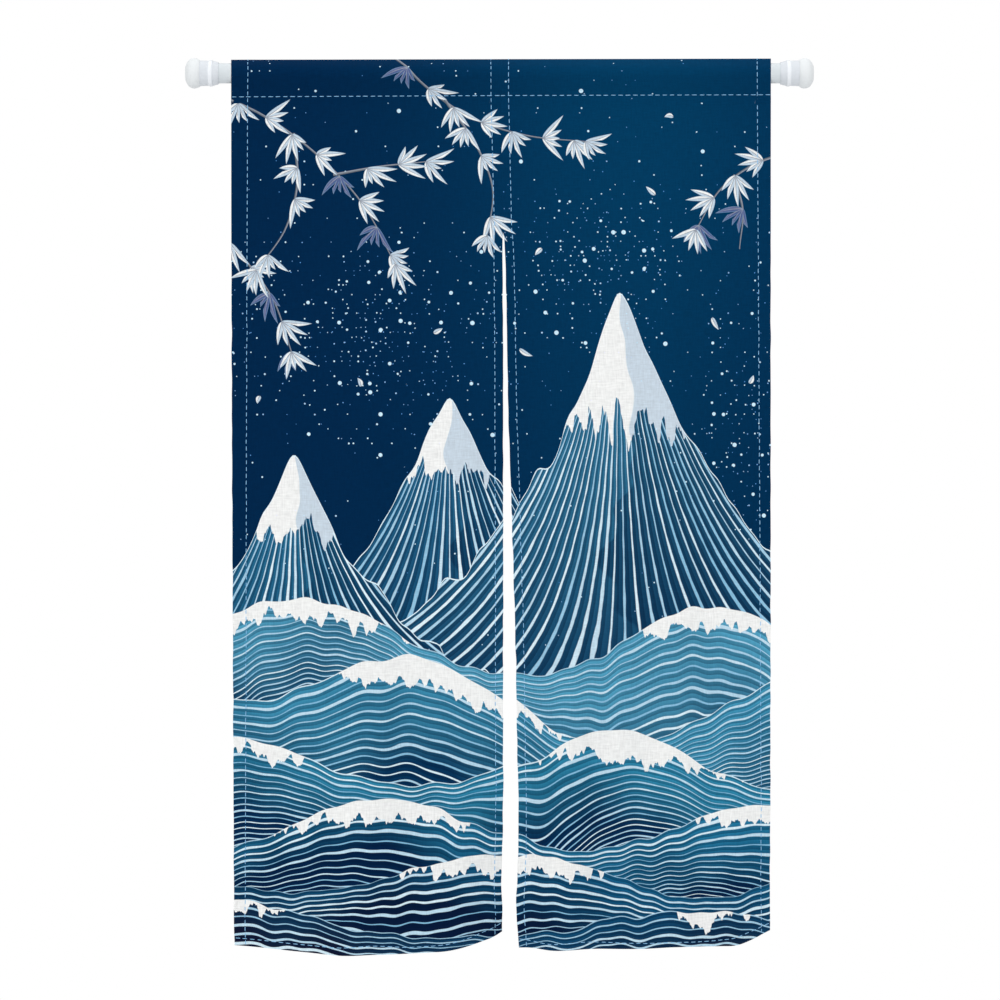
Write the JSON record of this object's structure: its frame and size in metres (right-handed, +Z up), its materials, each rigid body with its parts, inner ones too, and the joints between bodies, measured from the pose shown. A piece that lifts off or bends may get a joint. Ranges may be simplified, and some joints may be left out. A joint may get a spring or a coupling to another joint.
{
  "type": "two-panel door curtain on a tension rod",
  "caption": "Door curtain of two cloth panels, sewn together at the top and open in a slit below, hung from a plain tension rod through a sewn pocket.",
  "frame": {"origin": "middle of the rod's axis", "axes": "+X along the rod to the right as seen from the front, +Z up, the front of the cloth faces -Y"},
  "size_m": [1, 0.0841, 1.4272],
  "materials": {
    "cloth": "matt printed linen-look weave",
    "tube_paint": "satin white",
    "cap_plastic": "smooth white",
    "pad_rubber": "soft white"
  },
  "bodies": {
    "root": {"panel_left": "cloth", "panel_right": "cloth", "rod_tube": "tube_paint", "cap_left": "cap_plastic", "cap_right": "cap_plastic", "pad_left": "pad_rubber", "pad_right": "pad_rubber"}
  },
  "joints": []
}
